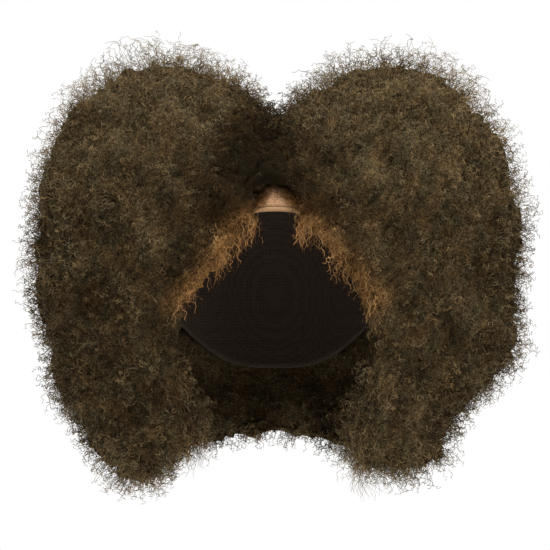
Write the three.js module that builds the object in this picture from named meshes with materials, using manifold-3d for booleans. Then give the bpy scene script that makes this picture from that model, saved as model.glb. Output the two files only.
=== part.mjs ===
// A centre-parted afro wig, as it stands when worn: two round puffs of kinky hair on a net cap,
// with a sheer lace panel and a folded hem along the forehead.
// Millimetres, +Z up. The face looks along -Y and +X is the wearer's left.
// The origin is inside the crown of the cap, where the top of the head bears.

import * as THREE from "three";
import { mergeVertices } from "three/addons/utils/BufferGeometryUtils.js";
import Module from "manifold-3d";

const wasm = await Module();
wasm.setup();

// The head that the cap fits: an ellipsoid down to its widest level
const HEAD_HALF_WIDTH = 77;
const HEAD_HALF_LENGTH = 96;
const CROWN_RISE = 98;

// Walls of the sewn pieces, and the space between neighbours
const CAP_WALL = 1.4;
const LACE_WALL = 1;
const HEM_WALL = 1.8;
const SEAM_GAP = 0.4;

// Edge of the cap and lace round the head: turn from the forehead, drop below the crown
const RIM = [
  { turn: 0, drop: 36 },
  { turn: 25, drop: 42 },
  { turn: 50, drop: 68 },
  { turn: 74, drop: 112 },
  { turn: 96, drop: 96 },
  { turn: 122, drop: 120 },
  { turn: 150, drop: 143 },
  { turn: 180, drop: 148 },
];

// Lace panel: its depth along the head over the forehead, run out to nothing at the temples
const LACE_DEPTH = 30;
const LACE_FADE_TURN = 72;
const LACE_END_TURN = 62;
const HEM_DEPTH = 4;

// Outer form of the hair, measured from the middle of the puffs
const HAIR_CENTRE = new THREE.Vector3(0, 12, -90);
const HAIR_FRONT = 127;
const HAIR_BACK = 163;
const ROOT_GAP = 2.6;
const MIDDLE_GAP = 0.6;

// Reach of each puff in the front view: clock is the angle above the level of the centre
const OUTLINE = [
  { clock: 90, left: 184, right: 190 },
  { clock: 60, left: 187, right: 192 },
  { clock: 45, left: 196, right: 197 },
  { clock: 30, left: 192, right: 190 },
  { clock: 15, left: 184, right: 180 },
  { clock: 0, left: 174, right: 173 },
  { clock: -15, left: 179, right: 171 },
  { clock: -30, left: 166, right: 174 },
  { clock: -48, left: 172, right: 179 },
  { clock: -56, left: 168, right: 176 },
  { clock: -66, left: 148, right: 146 },
  { clock: -90, left: 134, right: 134 },
];

// Depth of the parting below the puffs: lean is the angle from upright, positive to the back
const PARTING = [
  { lean: -90, cut: 8 },
  { lean: -60, cut: 33 },
  { lean: -30, cut: 56 },
  { lean: 0, cut: 61 },
  { lean: 30, cut: 34 },
  { lean: 55, cut: 10 },
  { lean: 80, cut: 0 },
];
const PARTING_HALF_WIDTH = 95;
const PARTING_ROUNDING = 0.35;

// Face left open between the puffs: half-widths at each drop below the crown, flared in front of the temples
const FACE = [
  { drop: 26, left: 1, right: 1 },
  { drop: 36, left: 13, right: 13 },
  { drop: 60, left: 30, right: 26 },
  { drop: 75, left: 42, right: 34 },
  { drop: 92, left: 54, right: 49 },
  { drop: 110, left: 60, right: 62 },
  { drop: 130, left: 64, right: 66 },
  { drop: 165, left: 61, right: 59 },
  { drop: 200, left: 61, right: 50 },
  { drop: 300, left: 61, right: 50 },
];
const TEMPLE_FORWARD = 45;
const FACE_FLARE = 0.004;

// Hollow below the widest level of the head, for jaw and neck
const NECK = [
  { drop: 130, halfWidth: 74, front: 95, back: 92 },
  { drop: 160, halfWidth: 66, front: 88, back: 84 },
  { drop: 190, halfWidth: 60, front: 76, back: 78 },
  { drop: 300, halfWidth: 58, front: 70, back: 74 },
];

// Locks of hair that make up the puffs, spread evenly and smaller beside the parting.
// Spreads are angles in radians seen from the middle of the puffs.
const LOCK_COUNT = 100;
const LOCK_SPREAD = 0.26;
const LOCK_SPREAD_AT_PARTING = 0.08;
const LOCK_SIDES = 7;
const LOCK_CURL = 0.07;
const SIZE_SWING = { by: 0.14, every: 2.4 };
const REACH_SWING = { by: 0.01, every: 1.7 };
const BACKING_REACH = 0.94;
const BACKING_SIDES = 40;
const GOLDEN_TURN = Math.PI * (3 - Math.sqrt(5));

// Profile of one lock from root to tip: spread as a share of the lock's, reach as a share of the puff's
const LOCK_PROFILE = [
  { spread: 0, reach: 0.84 },
  { spread: 1, reach: 0.9 },
  { spread: 0.86, reach: 0.948 },
  { spread: 0.5, reach: 0.99 },
  { spread: 0, reach: 1.005 },
];

// Box that holds everything on one side of the parting, and how near points have to be to count as one
const HALF_SPACE = 600;
const SAME_POINT = 1e-4;

const HAIR_BROWN = new THREE.MeshStandardMaterial({ color: "#3b2f20", roughness: 0.75 });
const NET_BROWN = new THREE.MeshStandardMaterial({ color: "#2a2019", roughness: 0.9 });
const LACE_TAN = new THREE.MeshStandardMaterial({ color: "#b08e6c", roughness: 0.85 });
const HEM_TAN = new THREE.MeshStandardMaterial({ color: "#9a7c5a", roughness: 0.85 });

// A smooth curve through one column of a table, with the rows in any order
function column(table, key, name) {
  const rows = [...table].sort((a, b) => a[key] - b[key]);
  const keys = rows.map((row) => row[key]);
  const curve = new THREE.CubicInterpolant(keys, rows.map((row) => row[name]), 1);
  return (at) => curve.evaluate(THREE.MathUtils.clamp(at, keys[0], keys.at(-1)))[0];
}

const rimDrop = column(RIM, "turn", "drop");
const rimFall = (turn) => Math.acos(1 - rimDrop(turn) / CROWN_RISE);
const reachOf = { left: column(OUTLINE, "clock", "left"), right: column(OUTLINE, "clock", "right") };
const partingCut = column(PARTING, "lean", "cut");
const faceHalf = { left: column(FACE, "drop", "left"), right: column(FACE, "drop", "right") };

// Point on the head: the turn round from the forehead, the fall from the crown and the height off the skin
function headPoint(turn, fall, height) {
  const round = THREE.MathUtils.degToRad(turn);
  return new THREE.Vector3(
    (HEAD_HALF_WIDTH + height) * Math.sin(fall) * Math.sin(round),
    -(HEAD_HALF_LENGTH + height) * Math.sin(fall) * Math.cos(round),
    (CROWN_RISE + height) * Math.cos(fall) - CROWN_RISE,
  );
}

// Closed surface through rings of equal count, in order. A ring of one point closes an end.
function stitch(rings) {
  const starts = [];
  let count = 0;
  for (const ring of rings) {
    starts.push(count);
    count += ring.length;
  }
  const at = (ring, i) => starts[ring] + (i % rings[ring].length);
  const faces = [];
  for (let r = 0; r + 1 < rings.length; r++) {
    const sides = Math.max(rings[r].length, rings[r + 1].length);
    for (let i = 0; i < sides; i++) {
      if (rings[r].length > 1) faces.push(at(r, i), at(r, i + 1), at(r + 1, i + 1));
      if (rings[r + 1].length > 1) faces.push(at(r, i), at(r + 1, i + 1), at(r + 1, i));
    }
  }
  const geometry = new THREE.BufferGeometry().setFromPoints(rings.flat());
  return geometry.setIndex(faces);
}

// Middle of a ring of points, which closes the end of a strip
function middle(ring) {
  const sum = ring.reduce((total, point) => total.add(point), new THREE.Vector3());
  return [sum.divideScalar(ring.length)];
}

// A closed geometry as a solid for cutting and joining
function solidOf(geometry) {
  const bare = geometry.clone();
  bare.deleteAttribute("normal");
  bare.deleteAttribute("uv");
  const merged = mergeVertices(bare, SAME_POINT);
  const triVerts = new Uint32Array(merged.index.array);
  const vertProperties = merged.getAttribute("position").array;
  return new wasm.Manifold(new wasm.Mesh({ numProp: 3, vertProperties, triVerts }));
}

// A solid back as a geometry
function geometryOf(solid) {
  const { vertProperties, triVerts } = solid.getMesh();
  const geometry = new THREE.BufferGeometry();
  geometry.setAttribute("position", new THREE.BufferAttribute(vertProperties, 3));
  return geometry.setIndex(new THREE.BufferAttribute(triVerts, 1));
}

// The lace meets the cap along a seam above the edge, and both share the fall of the head
const laceDepth = (turn) =>
  LACE_DEPTH * Math.cos((Math.PI / 2) * Math.min(1, turn / LACE_FADE_TURN));
const seamFall = (turn) => rimFall(turn) - laceDepth(turn) / HEAD_HALF_LENGTH;

// Net cap: a dome wall from the crown down to the lace seam in front and its own edge elsewhere
function capGeometry() {
  const turns = 40;
  const bands = 8;
  const ring = (share, height) =>
    Array.from({ length: turns }, (_, i) => {
      const turn = (360 * i) / turns;
      const fromFront = Math.min(turn, 360 - turn);
      return headPoint(turn, seamFall(fromFront) * share, height);
    });
  const shares = Array.from({ length: bands }, (_, i) => (i + 1) / bands);
  const inside = shares.map((share) => ring(share, 0));
  const outside = shares.map((share) => ring(share, CAP_WALL)).reverse();
  return stitch([[headPoint(0, 0, 0)], ...inside, ...outside, [headPoint(0, 0, CAP_WALL)]]);
}

// A strip of cloth along the forehead, between two falls from the crown, with a wall of its own
function frontStrip(topFall, lowFall, wall, rows) {
  const steps = 28;
  const loops = Array.from({ length: steps + 1 }, (_, i) => {
    const turn = LACE_END_TURN * ((2 * i) / steps - 1);
    const side = (height) =>
      Array.from({ length: rows + 1 }, (_, k) => {
        const top = topFall(Math.abs(turn));
        const low = lowFall(Math.abs(turn));
        return headPoint(turn, THREE.MathUtils.lerp(top, low, k / rows), height);
      });
    return [...side(wall), ...side(0).reverse()];
  });
  return stitch([middle(loops[0]), ...loops, middle(loops.at(-1))]);
}

const below = (fall, distance) => (turn) => fall(turn) + distance / HEAD_HALF_LENGTH;

const laceGeometry = () => frontStrip(below(seamFall, SEAM_GAP), rimFall, LACE_WALL, 3);

const hemGeometry = () =>
  frontStrip(below(rimFall, SEAM_GAP), below(rimFall, HEM_DEPTH), HEM_WALL, 1);

// Space of the head and neck, with the room that the cap and the lace need
function headSpace() {
  const sides = 36;
  const bands = 8;
  const ellipse = (halfWidth, front, back, z) =>
    Array.from({ length: sides }, (_, i) => {
      const round = (2 * Math.PI * i) / sides;
      const depth = Math.cos(round) > 0 ? front : back;
      return new THREE.Vector3(halfWidth * Math.sin(round), -depth * Math.cos(round), z);
    });
  const neck = [...NECK].reverse().map((row) => {
    const front = row.front + ROOT_GAP;
    const back = row.back + ROOT_GAP;
    return ellipse(row.halfWidth + ROOT_GAP, front, back, -row.drop);
  });
  const skull = Array.from({ length: bands }, (_, i) => {
    const fall = (Math.PI / 2) * (1 - i / bands);
    const round = Math.sin(fall);
    const length = (HEAD_HALF_LENGTH + ROOT_GAP) * round;
    const z = (CROWN_RISE + ROOT_GAP) * Math.cos(fall) - CROWN_RISE;
    return ellipse((HEAD_HALF_WIDTH + ROOT_GAP) * round, length, length, z);
  });
  return solidOf(stitch([middle(neck[0]), ...neck, ...skull, [headPoint(0, 0, ROOT_GAP)]]));
}

// Opening for the face, from in front of the puffs back to the line of the ears
function faceSpace() {
  const outline = [
    ...FACE.map((row) => ({ x: row.left, z: -row.drop })),
    ...[...FACE].reverse().map((row) => ({ x: -row.right, z: -row.drop })),
  ];
  const ring = (forward) => {
    const flare = 1 + FACE_FLARE * Math.max(0, forward - TEMPLE_FORWARD);
    return outline.map(({ x, z }) => new THREE.Vector3(x * flare, -forward, z));
  };
  const rings = [2 * HAIR_FRONT, TEMPLE_FORWARD, 0].map(ring);
  return solidOf(stitch([middle(rings[0]), ...rings, middle(rings.at(-1))]));
}

// Point of the puffs' outer form in a direction from their middle, at a share of its full reach
function hairPoint(direction, share) {
  const side = direction.x < 0 ? "right" : "left";
  const clock = THREE.MathUtils.radToDeg(Math.atan2(direction.z, Math.abs(direction.x)));
  const lean = THREE.MathUtils.radToDeg(Math.atan2(direction.y, direction.z));
  const reach = reachOf[side](clock);
  const depth = direction.y < 0 ? HAIR_FRONT : HAIR_BACK;
  const point = new THREE.Vector3(direction.x * reach, direction.y * depth, direction.z * reach);
  const across = Math.min(1, Math.abs(point.x) / PARTING_HALF_WIDTH);
  const rise = across * (1 + PARTING_ROUNDING * (1 - across));
  point.setLength(point.length() - partingCut(lean) * (1 - rise));
  return point.multiplyScalar(share).add(HAIR_CENTRE);
}

// Backing that the locks grow from: the outer form, a little smaller
function backing() {
  const ball = new THREE.SphereGeometry(1, BACKING_SIDES, BACKING_SIDES / 2);
  const place = ball.getAttribute("position");
  const direction = new THREE.Vector3();
  for (let i = 0; i < place.count; i++) {
    direction.fromBufferAttribute(place, i);
    place.setXYZ(i, ...hairPoint(direction, BACKING_REACH));
  }
  return solidOf(ball);
}

const swing = (index, { by, every }) => 1 + by * Math.sin(index * every);

// One lock: a soft bud that follows the outer form, with its tip curled over sideways
function lock(index, outward) {
  const widest = Math.min(LOCK_SPREAD, LOCK_SPREAD_AT_PARTING + Math.abs(outward.x) / 2);
  const spread = widest * swing(index, SIZE_SWING);
  const profile = LOCK_PROFILE.map((row) => new THREE.Vector2(row.spread * spread, row.reach));
  const bud = new THREE.LatheGeometry(profile, LOCK_SIDES);
  const upright = new THREE.Vector3(0, 1, 0);
  const turned = new THREE.Quaternion().setFromUnitVectors(upright, outward);
  const root = LOCK_PROFILE[0].reach;
  const place = bud.getAttribute("position");
  const offset = new THREE.Vector3();
  for (let i = 0; i < place.count; i++) {
    const reach = place.getY(i);
    const curl = LOCK_CURL * ((reach - root) / (1 - root)) ** 2;
    offset.set(place.getX(i) + curl, 0, place.getZ(i));
    offset.applyAxisAngle(upright, index * GOLDEN_TURN).applyQuaternion(turned);
    const direction = outward.clone().add(offset).normalize();
    place.setXYZ(i, ...hairPoint(direction, reach * swing(index, REACH_SWING)));
  }
  return solidOf(bud);
}

// Locks on one side, spread by the golden turn, clear of the parting and the face
function locks(side) {
  const sign = side === "left" ? 1 : -1;
  const all = [];
  for (let i = 0; i < LOCK_COUNT; i++) {
    const level = 1 - (2 * (i + 0.5)) / LOCK_COUNT;
    const round = Math.sqrt(1 - level * level);
    const turn = i * GOLDEN_TURN;
    const outward = new THREE.Vector3(round * Math.cos(turn), level, round * Math.sin(turn));
    const tip = hairPoint(outward, 1);
    const onFace = tip.y < 0 && Math.abs(tip.x) < faceHalf[side](-tip.z);
    if (outward.x * sign > LOCK_SPREAD_AT_PARTING && !onFace) all.push(lock(i, outward));
  }
  return all;
}

// The hair on one side of the parting: locks fused to their backing, hollow for the head
function hairGeometry(side) {
  const sign = side === "left" ? 1 : -1;
  const half = new THREE.BoxGeometry(HALF_SPACE, HALF_SPACE, HALF_SPACE);
  half.translate((sign * (HALF_SPACE + MIDDLE_GAP)) / 2, 0, HAIR_CENTRE.z);
  const puff = locks(side).reduce((sum, one) => sum.add(one), backing());
  return geometryOf(puff.intersect(solidOf(half)).subtract(headSpace()).subtract(faceSpace()));
}

function piece(name, geometry, material) {
  const mesh = new THREE.Mesh(geometry, material);
  mesh.name = name;
  return mesh;
}

const wig = new THREE.Group();
wig.add(
  piece("wig_cap", capGeometry(), NET_BROWN),
  piece("lace_front", laceGeometry(), LACE_TAN),
  piece("front_hem", hemGeometry(), HEM_TAN),
  piece("hair_left", hairGeometry("left"), HAIR_BROWN),
  piece("hair_right", hairGeometry("right"), HAIR_BROWN),
);

export default wig;
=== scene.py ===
"""Dresses a centre-parted afro wig: net cap, lace front, hem and two puffs of frizzy hair, in a plain studio.

Everything is in metres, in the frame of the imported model: +Z is up, the face looks along -Y and +X is the
wearer's left.
"""

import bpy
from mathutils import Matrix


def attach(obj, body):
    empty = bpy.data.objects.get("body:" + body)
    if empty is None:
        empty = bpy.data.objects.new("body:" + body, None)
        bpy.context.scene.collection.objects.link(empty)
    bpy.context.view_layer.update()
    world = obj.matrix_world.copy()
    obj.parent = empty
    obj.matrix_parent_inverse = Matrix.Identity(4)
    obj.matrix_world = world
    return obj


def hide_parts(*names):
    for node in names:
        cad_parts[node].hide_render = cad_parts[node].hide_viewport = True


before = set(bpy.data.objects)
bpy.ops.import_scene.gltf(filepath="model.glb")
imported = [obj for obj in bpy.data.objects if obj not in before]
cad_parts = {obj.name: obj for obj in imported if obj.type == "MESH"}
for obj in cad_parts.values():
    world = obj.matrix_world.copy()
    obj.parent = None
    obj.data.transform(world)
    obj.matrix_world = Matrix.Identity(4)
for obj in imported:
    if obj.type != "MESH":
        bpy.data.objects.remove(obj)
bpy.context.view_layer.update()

import logging
import math
from dataclasses import dataclass, field
from enum import Enum

import bpy
import numpy as np
from numpy.typing import NDArray

Array = NDArray[np.float64]
Span = tuple[float, float]
Place = tuple[float, float, float]
Colour = tuple[float, float, float, float]
Piece = bpy.types.Object
Material = bpy.types.Material
Socket = bpy.types.NodeSocket
Random = np.random.Generator
Stops = list[tuple[float, str]]
Tubes = tuple[Array, NDArray, Array, Array]

MM = 0.001
TAU = 2 * math.pi
UP = np.array([0.0, 0.0, 1.0])

# Gap between the skin and the inside of the cloth.
CLEARANCE = 0.1 * MM

# How far sideways from its edge the face still shapes the hair and the painted light in it.
FACE_EDGE = 16 * MM

# Levels over which the tops of the puffs begin.
PUFF_TOPS = (10 * MM, 50 * MM)

log = logging.getLogger("wig")


# Colour, curves and meshes


def linear(code: str) -> Colour:
    """Turns an sRGB hex value into a linear colour, straight near black and a power of 2.4 above.

    Args:
        code: the hex value.

    Returns:
        Red, green, blue and full alpha.
    """
    parts = np.array([int(code[i : i + 2], 16) for i in (1, 3, 5)]) / 255
    value = np.where(parts <= 0.04045, parts / 12.92, ((parts + 0.055) / 1.055) ** 2.4)
    return (*value.tolist(), 1.0)


def unit(vectors: Array) -> Array:
    """Vectors of length one along the last axis."""
    return vectors / np.maximum(np.linalg.norm(vectors, axis=-1, keepdims=True), 1e-9)


def fade(values: Array, start: float, end: float, least: float = 0.0) -> Array:
    """Share that runs straight from 0 at the start to 1 at the end, held between the least and 1."""
    return np.clip((values - start) / (end - start), least, 1)


def bell(values: Array, width: float) -> Array:
    """Bell curve: one at zero, falling off over the width."""
    return np.exp(-((values / width) ** 2))


def smooth_curve(keys: Array, values: Array, at: Array) -> Array:
    """Runs a cubic curve through a short table, level at its ends and sloped by its neighbours between them.

    Args:
        keys: rising places of the rows.
        values: values of the rows.
        at: places to read, held inside the table.

    Returns:
        The value at each place.
    """
    slopes = np.gradient(values, keys)
    slopes[[0, -1]] = 0
    at = np.clip(at, keys[0], keys[-1])
    row = np.clip(np.searchsorted(keys, at, side="right") - 1, 0, len(keys) - 2)
    span = keys[row + 1] - keys[row]
    t = (at - keys[row]) / span
    start = (1 + 2 * t) * (1 - t) ** 2 * values[row] + t * (1 - t) ** 2 * span * slopes[row]
    end = t**2 * (3 - 2 * t) * values[row + 1] + t**2 * (t - 1) * span * slopes[row + 1]
    return start + end


@dataclass(frozen=True)
class Mottle:
    """Soft random field about zero: a sum of plane waves in seeded directions.

    Attributes:
        size: length of the waves.
        seed: what the directions are drawn from.
        waves: how many waves are added.
    """

    size: float
    seed: int
    waves: int = 14

    def at(self, points: Array) -> Array:
        """Adds a sine along each wave's heading and divides by the root of their count.

        Args:
            points: any points.

        Returns:
            The field's value at each point.
        """
        rng = np.random.default_rng(self.seed)
        heading = unit(rng.normal(size=(3, self.waves)).T).T * TAU / self.size
        heading = heading * rng.uniform(0.6, 1.5, self.waves)
        phase = rng.uniform(0, TAU, self.waves)
        return np.sin(points @ heading + phase).sum(axis=1) / math.sqrt(self.waves)


def make_piece(name: str, points: Array, faces: NDArray, **traits: Array) -> Piece:
    """Puts whole arrays into a smooth mesh object at the origin.

    Args:
        name: the piece's name.
        points: one row of x, y, z for each point.
        faces: one row of point numbers for each triangle.
        traits: float values for each point, kept as attributes of the mesh.

    Returns:
        The object, linked to the scene.
    """
    mesh = bpy.data.meshes.new(name)
    mesh.vertices.add(len(points))
    mesh.vertices.foreach_set("co", points.astype(np.float32).ravel())
    mesh.loops.add(faces.size)
    mesh.loops.foreach_set("vertex_index", faces.astype(np.int32).ravel())
    mesh.polygons.add(len(faces))
    mesh.polygons.foreach_set("loop_start", np.arange(0, faces.size, 3, dtype=np.int32))
    mesh.update(calc_edges=True)
    mesh.polygons.foreach_set("use_smooth", np.ones(len(faces), bool))
    for trait, values in traits.items():
        attribute = mesh.attributes.new(trait, "FLOAT", "POINT")
        attribute.data.foreach_set("value", values.astype(np.float32).ravel())
    piece = bpy.data.objects.new(name, mesh)
    bpy.context.scene.collection.objects.link(piece)
    return piece


def closed_tubes(rings: Array, starts: Array, ends: Array) -> tuple[Array, NDArray]:
    """Closes many alike tubes at once, each a skin through its rings with a point at both ends.

    Args:
        rings: points of shape (tubes, rings, sides, 3).
        starts: first point of each tube.
        ends: last point of each tube.

    Returns:
        Points and triangles of all tubes together.
    """
    tubes, count, sides, _ = rings.shape
    body = rings.reshape(tubes, count * sides, 3)
    points = np.concatenate([starts[:, None], body, ends[:, None]], axis=1)
    side = np.arange(sides)
    after = (side + 1) % sides
    first = 1 + sides * np.arange(count - 1)[:, None]
    low, low_next = first + side, first + after
    high, high_next = low + sides, low_next + sides
    skin = np.stack([low, low_next, high_next, low, high_next, high], axis=-1).reshape(-1, 3)
    last = 1 + sides * (count - 1)
    root = np.stack([0 * side, 1 + after, 1 + side], axis=-1)
    tip = np.stack([0 * side + 1 + sides * count, last + side, last + after], axis=-1)
    one = np.concatenate([root, skin, tip])
    every = one[None] + points.shape[1] * np.arange(tubes)[:, None, None]
    return points.reshape(-1, 3), every.reshape(-1, 3)


# Finishes


@dataclass
class Recipe:
    """A node material in the making.

    Attributes:
        name: what the material is.
        material: the material, with nothing in its tree but the output.
        end: where the shader goes in.
    """

    name: str
    material: Material = field(init=False)
    end: Socket = field(init=False)

    def __post_init__(self) -> None:
        """Makes the material and empties its tree down to the output."""
        self.material = bpy.data.materials.new(self.name)
        self.material.use_nodes = True
        nodes = self.material.node_tree.nodes
        nodes.clear()
        self.end = nodes.new("ShaderNodeOutputMaterial").inputs["Surface"]

    def add(
        self,
        kind: str,
        output: str | int,
        inputs: dict | None = None,
        stops: Stops | None = None,
        **settings: str,
    ) -> Socket:
        """Adds one node with its settings and links.

        Args:
            kind: Blender's name for the node, after the words ShaderNode.
            output: name of the output that is wanted, or its number where several share a name.
            inputs: socket name or number to a plain value, or to the output socket that feeds it.
            stops: sRGB hex values of a colour ramp, each after its place from 0 to 1.
            settings: properties of the node.

        Returns:
            That output.
        """
        tree = self.material.node_tree
        node = tree.nodes.new(f"ShaderNode{kind}")
        for name, value in settings.items():
            setattr(node, name, value)
        for name, value in (inputs or {}).items():
            if isinstance(value, Socket):
                tree.links.new(value, node.inputs[name])
            else:
                node.inputs[name].default_value = value
        if stops:
            elements = node.color_ramp.elements
            while len(elements) < len(stops):
                elements.new(0.5)
            for element, (place, code) in zip(elements, stops):
                element.position = place
                element.color = linear(code)
        return node.outputs[output]

    def ended(self, shader: Socket) -> Material:
        """The material, with the shader led to its output."""
        self.material.node_tree.links.new(shader, self.end)
        return self.material


@dataclass(frozen=True)
class HairFinish:
    """Kinky fibre, heat set: dull brown coils, with painted shade near black in the depth and painted light,
    golden, where light comes through by the face.

    Attributes:
        name: the material's name.
        cool, warm: colours from the painted shade of the depth to the painted gleam of a coil, in the body of
            the hair and by the face.
        roughness, gloss: how wide and how strong its shine is.
        sheen: soft light along grazing sides, as fine fuzz gives it.
        tangle: how far a drawn tangle of coils swings the tone, with a painted gleam on the coils and painted
            shade between them, for hair too close to tell apart.
        coil: width of one coil of the tangle.
        relief: height of the tangle.
    """

    name: str
    cool: tuple[str, str, str] = ("#080500", "#2c2314", "#6f6347")
    warm: tuple[str, str, str] = ("#120a03", "#603d1a", "#bb8a54")
    roughness: float = 0.55
    gloss: float = 0.05
    sheen: float = 0.0
    tangle: float = 0.0
    coil: float = 2.1 * MM
    relief: float = 1.0 * MM

    def tangled(self, recipe: Recipe) -> Socket:
        """Draws light arcs, the painted gleam of the coils, where two warped noises cross their middle value.

        Args:
            recipe: the material that they are drawn in.

        Returns:
            A value from 0 between arcs to 1 on them.
        """
        place = recipe.add("TexCoord", "Object")
        arcs = []
        for size, shift in ((self.coil, 0.0), (0.8 * self.coil, 0.37)):
            moved = recipe.add("VectorMath", "Vector", {0: place, 1: (shift, shift, shift)}, operation="ADD")
            warped = {"Vector": moved, "Scale": 1 / size, "Detail": 1.5, "Roughness": 0.5, "Distortion": 1.2}
            noise = recipe.add("TexNoise", "Fac", warped)
            off = recipe.add("Math", "Value", {0: noise, 1: 0.5}, operation="SUBTRACT")
            away = recipe.add("Math", "Value", {0: off}, operation="ABSOLUTE")
            edge = {"Value": away, "From Min": 0.0, "From Max": 0.11, "To Min": 1.0, "To Max": 0.0}
            arcs.append(recipe.add("MapRange", "Result", edge, interpolation_type="SMOOTHSTEP"))
        return recipe.add("Math", "Value", {0: arcs[0], 1: arcs[1]}, operation="MAXIMUM")

    def material(self) -> Material:
        """Gives each strand its own tone and warmth, and swings the tone by the drawn tangle if there is one.

        Returns:
            The hair's material.
        """
        recipe = Recipe(self.name)
        tone = recipe.add("Attribute", "Fac", attribute_name="tone")
        warmth = recipe.add("Attribute", "Fac", attribute_name="warmth")
        surface = {
            "Roughness": self.roughness,
            "Specular IOR Level": self.gloss,
            "IOR": 1.55,
            "Sheen Weight": self.sheen,
            "Sheen Roughness": 0.5,
            "Sheen Tint": linear("#b3a48a"),
        }
        if self.tangle:
            arcs = self.tangled(recipe)
            swing = {"Value": arcs, "To Min": -0.5 * self.tangle, "To Max": 0.5 * self.tangle}
            swung = recipe.add("MapRange", "Result", swing)
            tone = recipe.add("Math", "Value", {0: tone, 1: swung}, operation="ADD")
            relief = {"Strength": 1.0, "Distance": self.relief, "Height": arcs}
            surface["Normal"] = recipe.add("Bump", "Normal", relief)
        # Ramps from painted shade in the depth through the hair's body colour to a painted gleam.
        spread = (0.0, 0.5, 1.0)
        cool = recipe.add("ValToRGB", "Color", {"Fac": tone}, list(zip(spread, self.cool)))
        warm = recipe.add("ValToRGB", "Color", {"Fac": tone}, list(zip(spread, self.warm)))
        surface["Base Color"] = recipe.add("Mix", 2, {0: warmth, 6: cool, 7: warm}, data_type="RGBA")
        return recipe.ended(recipe.add("BsdfPrincipled", "BSDF", surface))


@dataclass(frozen=True)
class NetFinish:
    """Knitted nylon net, dyed: matt threads round small cells, with the cells a shade apart.

    Attributes:
        name: the material's name.
        thread, hole: colours of the threads and of the cells between them.
        cell: width of one cell. Stretch net has cells under 1 mm, drawn coarser here so that they show.
        ply: share of a cell that the thread takes.
    """

    name: str
    thread: str
    hole: str
    cell: float
    ply: float = 0.16

    def material(self) -> Material:
        """Draws the net in Object coordinates: the distance to a cell's edge gives its colour and relief.

        Returns:
            The net's material.
        """
        recipe = Recipe(self.name)
        place = recipe.add("TexCoord", "Object")
        cells = {"Vector": place, "Scale": 1 / self.cell, "Randomness": 0.35}
        edge = recipe.add("TexVoronoi", "Distance", cells, feature="DISTANCE_TO_EDGE")
        stops = [(0.0, self.thread), (self.ply, self.thread), (2 * self.ply, self.hole)]
        colour = recipe.add("ValToRGB", "Color", {"Fac": edge}, stops)
        sides = {"Value": edge, "From Min": 0.0, "From Max": 2 * self.ply, "To Min": 1.0, "To Max": 0.0}
        threads = recipe.add("MapRange", "Result", sides)
        bump = recipe.add("Bump", "Normal", {"Strength": 0.7, "Distance": 0.3 * MM, "Height": threads})
        surface = {"Base Color": colour, "Normal": bump, "Roughness": 0.85, "Specular IOR Level": 0.2}
        return recipe.ended(recipe.add("BsdfPrincipled", "BSDF", surface))


@dataclass(frozen=True)
class TapeFinish:
    """Folded lace tape: close tan weave with a dark seam thread along its upper edge.

    Attributes:
        name: the material's name.
        seam, weave, shade: colours of the seam thread and of the weave's light and dark threads.
        thread: width of one thread. Such tape has threads of about 0.3 mm, drawn coarser here to show.
    """

    name: str = "folded_lace_tape"
    seam: str = "#5d4831"
    weave: str = "#8e704d"
    shade: str = "#795c40"
    thread: float = 0.9 * MM

    def material(self) -> Material:
        """Draws the weave in Object coordinates, and the seam by the strip's own attribute across it.

        Returns:
            The tape's material.
        """
        recipe = Recipe(self.name)
        place = recipe.add("TexCoord", "Object")
        grain = recipe.add("TexNoise", "Fac", {"Vector": place, "Scale": 1 / self.thread, "Detail": 2.0})
        cloth = recipe.add("ValToRGB", "Color", {"Fac": grain}, [(0.35, self.shade), (0.65, self.weave)])
        across = recipe.add("Attribute", "Fac", attribute_name="across")
        stitched = [(0.0, "#ffffff"), (0.22, "#ffffff"), (0.34, "#000000")]
        line = recipe.add("ValToRGB", "Color", {"Fac": across}, stitched)
        colour = recipe.add("Mix", 2, {0: line, 6: cloth, 7: linear(self.seam)}, data_type="RGBA")
        bump = recipe.add("Bump", "Normal", {"Strength": 0.5, "Distance": 0.3 * MM, "Height": grain})
        surface = {"Base Color": colour, "Normal": bump, "Roughness": 0.8, "Specular IOR Level": 0.2}
        return recipe.ended(recipe.add("BsdfPrincipled", "BSDF", surface))


# Sewn pieces on the form of the head


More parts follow.
